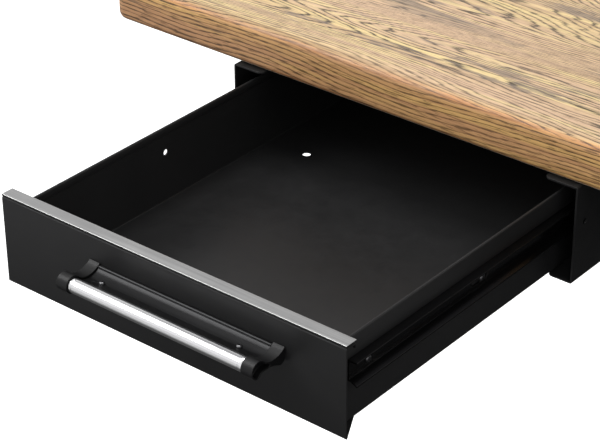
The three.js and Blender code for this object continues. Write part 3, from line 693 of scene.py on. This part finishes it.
def drawer_front(side, off, body):
    path = fillet([(33, 0), (0, 0), (0, 88), (12.8, 88), (12.8, 83)], 1.75, 5)

    def span(i, p):
        k = max(0.0, p[0] - 1.5) * 17 / 31.5 if p[1] < 1.0 else 0.0
        return (-194 + k, 194 - k)

    part(side + "_front_panel", sheet("x", path, 1.5, span), "black", side + "_drawer_front", bevel=0.3, body=body, off=off)
    strip = rounded(0, 13.6, 88.3, 90.6, 0.8, 4)
    ob = part(side + "_front_trim", loops("x", [(strip, -194 + 0.0), (strip, 194)]), "strip", side + "_drawer_strip", bevel=0.3, angle=60, body=body, off=off)
    # painted shade: the faces that do not face up take the black coat so they read dark, as the strip's front reflects
    # dark; only the top face keeps the bright finish
    ob.data.materials.append(M["black"])
    for p in ob.data.polygons:
        if p.normal.z < 0.8:
            p.material_index = 1


def tray(side, off, body):
    x0, x1, y0, y1 = -180, 180, 1.8, 540

    def ring(d, z):
        return rounded(x0 + d, x1 - d, y0 + d, y1 - d, max(3.2 - d, 0.6), 5), z

    rings = [ring(0.9, 1.8), ring(0.4, 1.9), ring(0.1, 2.2), ring(0.0, 2.8), ring(0.0, 80.7), ring(0.35, 81.55), ring(1.0, 82.0),
             ring(2.0, 82.0), ring(2.65, 81.55), ring(3.0, 80.7), ring(3.0, 74.8), ring(2.7, 74.2), ring(1.5, 74.0), ring(1.5, 4.9),
             ring(1.8, 3.9), ring(2.3, 3.45), ring(3.1, 3.3)]
    cuts = []
    for s in (-1, 1):
        a, b = (172, 186) if s > 0 else (-186, -172)
        for y, z, r in ((43.5, 52, 2.2), (196 if s < 0 else 203, 54.5 if s < 0 else 52, 3.0), (470, 52, 2.2)):
            cuts.append(prism("x", circle(y, z, r, 24), a, b))
        cuts.append(prism("z", circle(132 * s, 350, 4.4, 32), -2, 8))
    part(side + "_tray_box", loops("z", rings), "black", side + "_drawer_tray", body=body, cuts=cuts, sharp=50, off=off)


def handle(side, off, body):
    x0, x1, w = -87.2, 131.5, 12.3
    cap, pocket = curved(CAP, 3), curved(POCKET, 3)
    cap = [(min(y, -0.3), z) for y, z in cap]
    part(side + "_handle_end_left", prism("x", cap, x0, x0 + w), "plastic", side + "_handle_left_cap", bevel=0.7, seg=3, angle=45,
         body=body, cuts=[prism("x", pocket, x0 - 2, x0 + 6)], off=off)
    part(side + "_handle_end_right", prism("x", cap, x1 - w, x1), "plastic", side + "_handle_right_cap", bevel=0.7, seg=3, angle=45,
         body=body, cuts=[prism("x", pocket, x1 - 6, x1 + 2)], off=off)
    a, b = x0 + w + 0.3, x1 - w - 0.3
    R = 6.8
    prof = [(0, a), (R - 0.9, a), (R - 0.25, a + 0.25), (R, a + 0.9), (R, a + 3.4), (R - 0.35, a + 3.6), (R - 0.35, a + 4.2), (R, a + 4.4),
            (R, b - 4.4), (R - 0.35, b - 4.2), (R - 0.35, b - 3.6), (R, b - 3.4), (R, b - 0.9), (R - 0.25, b - 0.25), (R - 0.9, b), (0, b)]
    part(side + "_handle_tube", lathe(prof, 96, (0, -34, 59), "x"), "bar", side + "_handle_bar", body=body, sharp=50, off=off)
    part(side + "_handle_back_plate", prism("x", PLATE, a, b), "alu", side + "_handle_plate", bevel=0.45, seg=3, angle=24, body=body,
         cuts=[prism("z", circle(x, -15.5, 1.9, 24), 50, 64) for x in (-58.5, 95.5)], off=off)
    for k, x in enumerate((-58.5, 95.5)):
        pan_screw("%s_handle_fixing_%d" % (side, k + 1), (x, -15.5, 57.5), "z", 1, 2.6, 2.05, 1.4, 3.9, body, off, "%s_handle_screw_%d" % (side, k + 1))


def slides(side, off, off_fixed, off_cage, body, cage_body):
    for h, s in (("left", -1), ("right", 1)):
        cuts = [prism("x", circle(43.5, 52, 2.6, 24), 178, 186), prism("x", rounded(188, 212, 48.2, 58.4, 5, 6), 178, 186),
                prism("x", circle(470, 52, 2.6, 24), 178, 186)]
        part("%s_%s_rail_inner" % (side, h), mirror_if(s, prism("y", INNER, 19, 519)), "slide",
             "%s_drawer_%s_inner_slide" % (side, h), bevel=0.35, angle=20, body=body, cuts=[mirror_if(s, c) for c in cuts], off=off)
        cuts = [prism("x", circle(y, 53, 2.6, 24), 194, 202) for y in (150, 290, 430)]
        part("%s_%s_rail_outer" % (side, h), mirror_if(s, prism("y", OUTER, 25, 519)), "slide",
             "%s_unit_%s_outer_slide" % (side, h), bevel=0.35, angle=20, cuts=[mirror_if(s, c) for c in cuts], off=off_fixed)
        y0 = 212.5
        balls = []
        for y in (12, 44, 76, 108):
            for z in (65, 37.4):
                n = 9
                prof = [(0, -2.2)] + [(2.2 * math.sin(math.pi * i / n), -2.2 * math.cos(math.pi * i / n)) for i in range(1, n)] + [(0, 2.2)]
                balls.append(lathe(prof, 14, (s * 187, y0 + y, z)))
        part("%s_%s_cage_strip" % (side, h), mirror_if(s, prism("y", CAGE, y0, y0 + 120)), "zinc", "%s_unit_%s_ball_cage" % (side, h),
             bevel=0.2, angle=20, body=cage_body, off=off_cage)
        part("%s_%s_cage_balls" % (side, h), merge(balls), "zinc", body=cage_body, off=off_cage, sharp=60)
        for k, (y, z) in enumerate(((43.5, 52), (203, 52), (470, 52))):
            if s < 0 and k == 1:
                continue  # this hole of the left rail is left empty
            pan_screw("%s_%s_rail_fixing_%d" % (side, h, k + 1), (s * 181.95, y, z), "x", s, 3.5, 1.7, 1.9, 4.6, body, off)


def bracket(side, off):
    for h, s in (("left", -1), ("right", 1)):
        ends = [0, 0.5, 1.5, 3.0, 4.5, 6.0]
        low = [(172.95 + d, -6.0) for d in ends]
        top = [(164.35 + d, 93.7) for d in reversed(ends)]
        core = fillet([low[-1], (200.35, -6), (200.35, 93.7), top[0]], 2.3, 5)
        path = low[:-1] + core + top[1:]

        def span(i, p):
            d = None
            if p[1] < -5.9:
                d = p[0] - 172.95
            elif p[1] > 93.6:
                d = p[0] - 164.35
            k = 6 - math.sqrt(max(0.0, 36 - (6 - d) ** 2)) if d is not None and d < 6 else 0.0
            return (2.7 + k, 560 - k)

        first = (18.4, 53) if s > 0 else (26.4, 67.3)
        cuts = [prism("x", circle(y, z, 3, 24), 195, 204) for y, z in (first, (150, 53), (290, 53), (430, 53))]
        cuts += [prism("z", circle(176.35, y, 2.6, 20), 88, 97) for y in (60, 280, 500)]
        part("%s_%s_hanger" % (side, h), mirror_if(s, sheet("y", path, -2.0, span)), "black", "%s_unit_%s_bracket" % (side, h),
             bevel=0.3, cuts=[mirror_if(s, c) for c in cuts], off=off)
        for k, y in enumerate((60, 280, 500)):
            pan_screw("%s_%s_hanger_screw_%d" % (side, h, k + 1), (s * 176.35, y, 91.65), "z", -1, 4.6, 2.2, 2.4, 2.0, "bench", off)
        if s < 0:
            pan_screw("%s_%s_stop_screw" % (side, h), (-200.35, 26.4, 67.3), "x", -1, 4.2, 1.6, 2.8, 1.9, "bench", off)
        for k, y in enumerate((150, 290, 430)):
            pan_screw("%s_%s_slide_bolt_%d" % (side, h, k + 1), (s * 196.35, y, 53), "x", -s, 3.6, 1.5, 2.4, 3.8, "bench", off)


for side, ux, opened in (("left", -235.0, 318.6), ("right", 235.0, 0.0)):
    fixed = (ux, -197.4, 741.0)
    moving = (ux, -197.4 - opened, 741.0)
    half = (ux, -197.4 - opened / 2, 741.0)
    body = side + "_drawer"
    drawer_front(side, moving, body)
    tray(side, moving, body)
    handle(side, moving, body)
    slides(side, moving, fixed, half, body, side + "_ball_cages")
    bracket(side, fixed)


# ------------------------------------------------------------------ studio
def studio():
    def disc(name, z, tone_a, tone_b, glow, shade=None):
        n = 96
        v = [(0, 0, z)] + [(14 * math.cos(2 * math.pi * i / n), 14 * math.sin(2 * math.pi * i / n), z) for i in range(n)]
        me = bpy.data.meshes.new(name)
        me.from_pydata(v, [], [(0, 1 + i, 1 + (i + 1) % n) for i in range(n)])
        ob = bpy.data.objects.new(name, me)
        SCENE.collection.objects.link(ob)
        w = Mat(name + "_paper")
        cloud = w.noise(w.scale(3, 3, 3), 1.0, 3.0, 0.5, 0.0)
        tone = w.mix(cloud, (tone_a,) * 3, (tone_b,) * 3)
        # shade paints a shadow on the floor: darker towards its middle, under the bench
        if shade is not None:
            px, py = w.xyz(w.co)[:2]
            r = w.math("SQRT", w.math("ADD", w.math("MULTIPLY", px, px), w.math("MULTIPLY", py, py)))
            tone = w.mix(w.range(r, shade[0], shade[1], 0.0, 1.0), (shade[2],) * 3, tone)
        w.link(tone, "Base Color")
        w.set(Roughness=0.9, Specular_IOR_Level=0.1)
        w.s.inputs["Emission Color"].default_value = (1, 1, 1, 1)
        w.s.inputs["Emission Strength"].default_value = glow
        me.materials.append(w.m)
        return ob

    # the pale floor that is seen, and under it the greyer one that the object is lit by, with a painted shadow
    # darkening it towards the middle
    seen = disc("studio_floor", -0.0004, 0.84, 0.86, 0.62)
    seen.visible_diffuse = seen.visible_glossy = seen.visible_transmission = seen.visible_shadow = False
    fill = disc("studio_fill", -0.02, 0.66, 0.70, 0.0, shade=(1.35, 3.1, 0.06))
    fill.visible_camera = False

    world = bpy.data.worlds.new("soft_studio")
    SCENE.world = world
    world.use_nodes = True
    t = world.node_tree
    t.nodes.clear()
    out = t.nodes.new("ShaderNodeOutputWorld")
    bg = t.nodes.new("ShaderNodeBackground")
    co = t.nodes.new("ShaderNodeTexCoord")
    sep = t.nodes.new("ShaderNodeSeparateXYZ")
    ramp = t.nodes.new("ShaderNodeValToRGB")
    t.links.new(co.outputs["Generated"], sep.inputs[0])
    half = t.nodes.new("ShaderNodeMath")
    half.operation = "MULTIPLY_ADD"
    half.inputs[1].default_value = 0.5
    half.inputs[2].default_value = 0.5
    lean = t.nodes.new("ShaderNodeMath")
    lean.operation = "MULTIPLY_ADD"
    lean.inputs[1].default_value = 0.45
    t.links.new(sep.outputs[1], lean.inputs[0])
    t.links.new(sep.outputs[2], lean.inputs[2])
    t.links.new(lean.outputs[0], half.inputs[0])
    t.links.new(half.outputs[0], ramp.inputs[0])
    el = ramp.color_ramp.elements
    el[0].position, el[0].color = 0.45, (0.82, 0.82, 0.83, 1)
    el[1].position, el[1].color = 1.0, (0.24, 0.24, 0.25, 1)
    e = el.new(0.915)
    e.color = (0.88, 0.88, 0.88, 1)
    e = el.new(0.945)
    e.color = (0.22, 0.22, 0.23, 1)
    t.links.new(ramp.outputs[0], bg.inputs[0])
    bg.inputs[1].default_value = 1.0
    t.links.new(bg.outputs[0], out.inputs[0])

    def area(name, at, target, size, power, colour=(1, 1, 1)):
        d = bpy.data.lights.new(name, "AREA")
        d.shape, d.size, d.size_y, d.energy, d.color = "RECTANGLE", size[0], size[1], power, colour
        o = bpy.data.objects.new(name, d)
        SCENE.collection.objects.link(o)
        o.location = at
        o.rotation_euler = (Vector(target) - Vector(at)).to_track_quat("-Z", "Y").to_euler()

    area("key_softbox", (-2.4, -1.6, 3.2), (-0.1, 0.0, 0.8), (1.7, 1.7), 58)
    area("top_softbox", (-0.7, -0.2, 3.6), (-0.3, -0.2, 0.8), (1.3, 1.3), 42)


studio()

# ------------------------------------------------------------------ camera
cam = bpy.data.cameras.new("camera")
cam.lens, cam.sensor_width, cam.sensor_fit = 128.04, 36.0, "HORIZONTAL"
cam.clip_start, cam.clip_end = 0.05, 60.0
camera = bpy.data.objects.new("camera", cam)
SCENE.collection.objects.link(camera)
right, down, fwd = Vector((0.77351, 0.63375, -0.00573)), Vector((0.31593, -0.39341, -0.86338)), Vector((-0.54942, 0.66603, -0.50453))
mat = Matrix((right, -down, -fwd)).transposed().to_4x4()
mat.translation = Vector((0.81777, -1.61335, 1.75988))
camera.matrix_world = mat
SCENE.camera = camera
SCENE.view_settings.view_transform = "Standard"
SCENE.view_settings.look = "None"
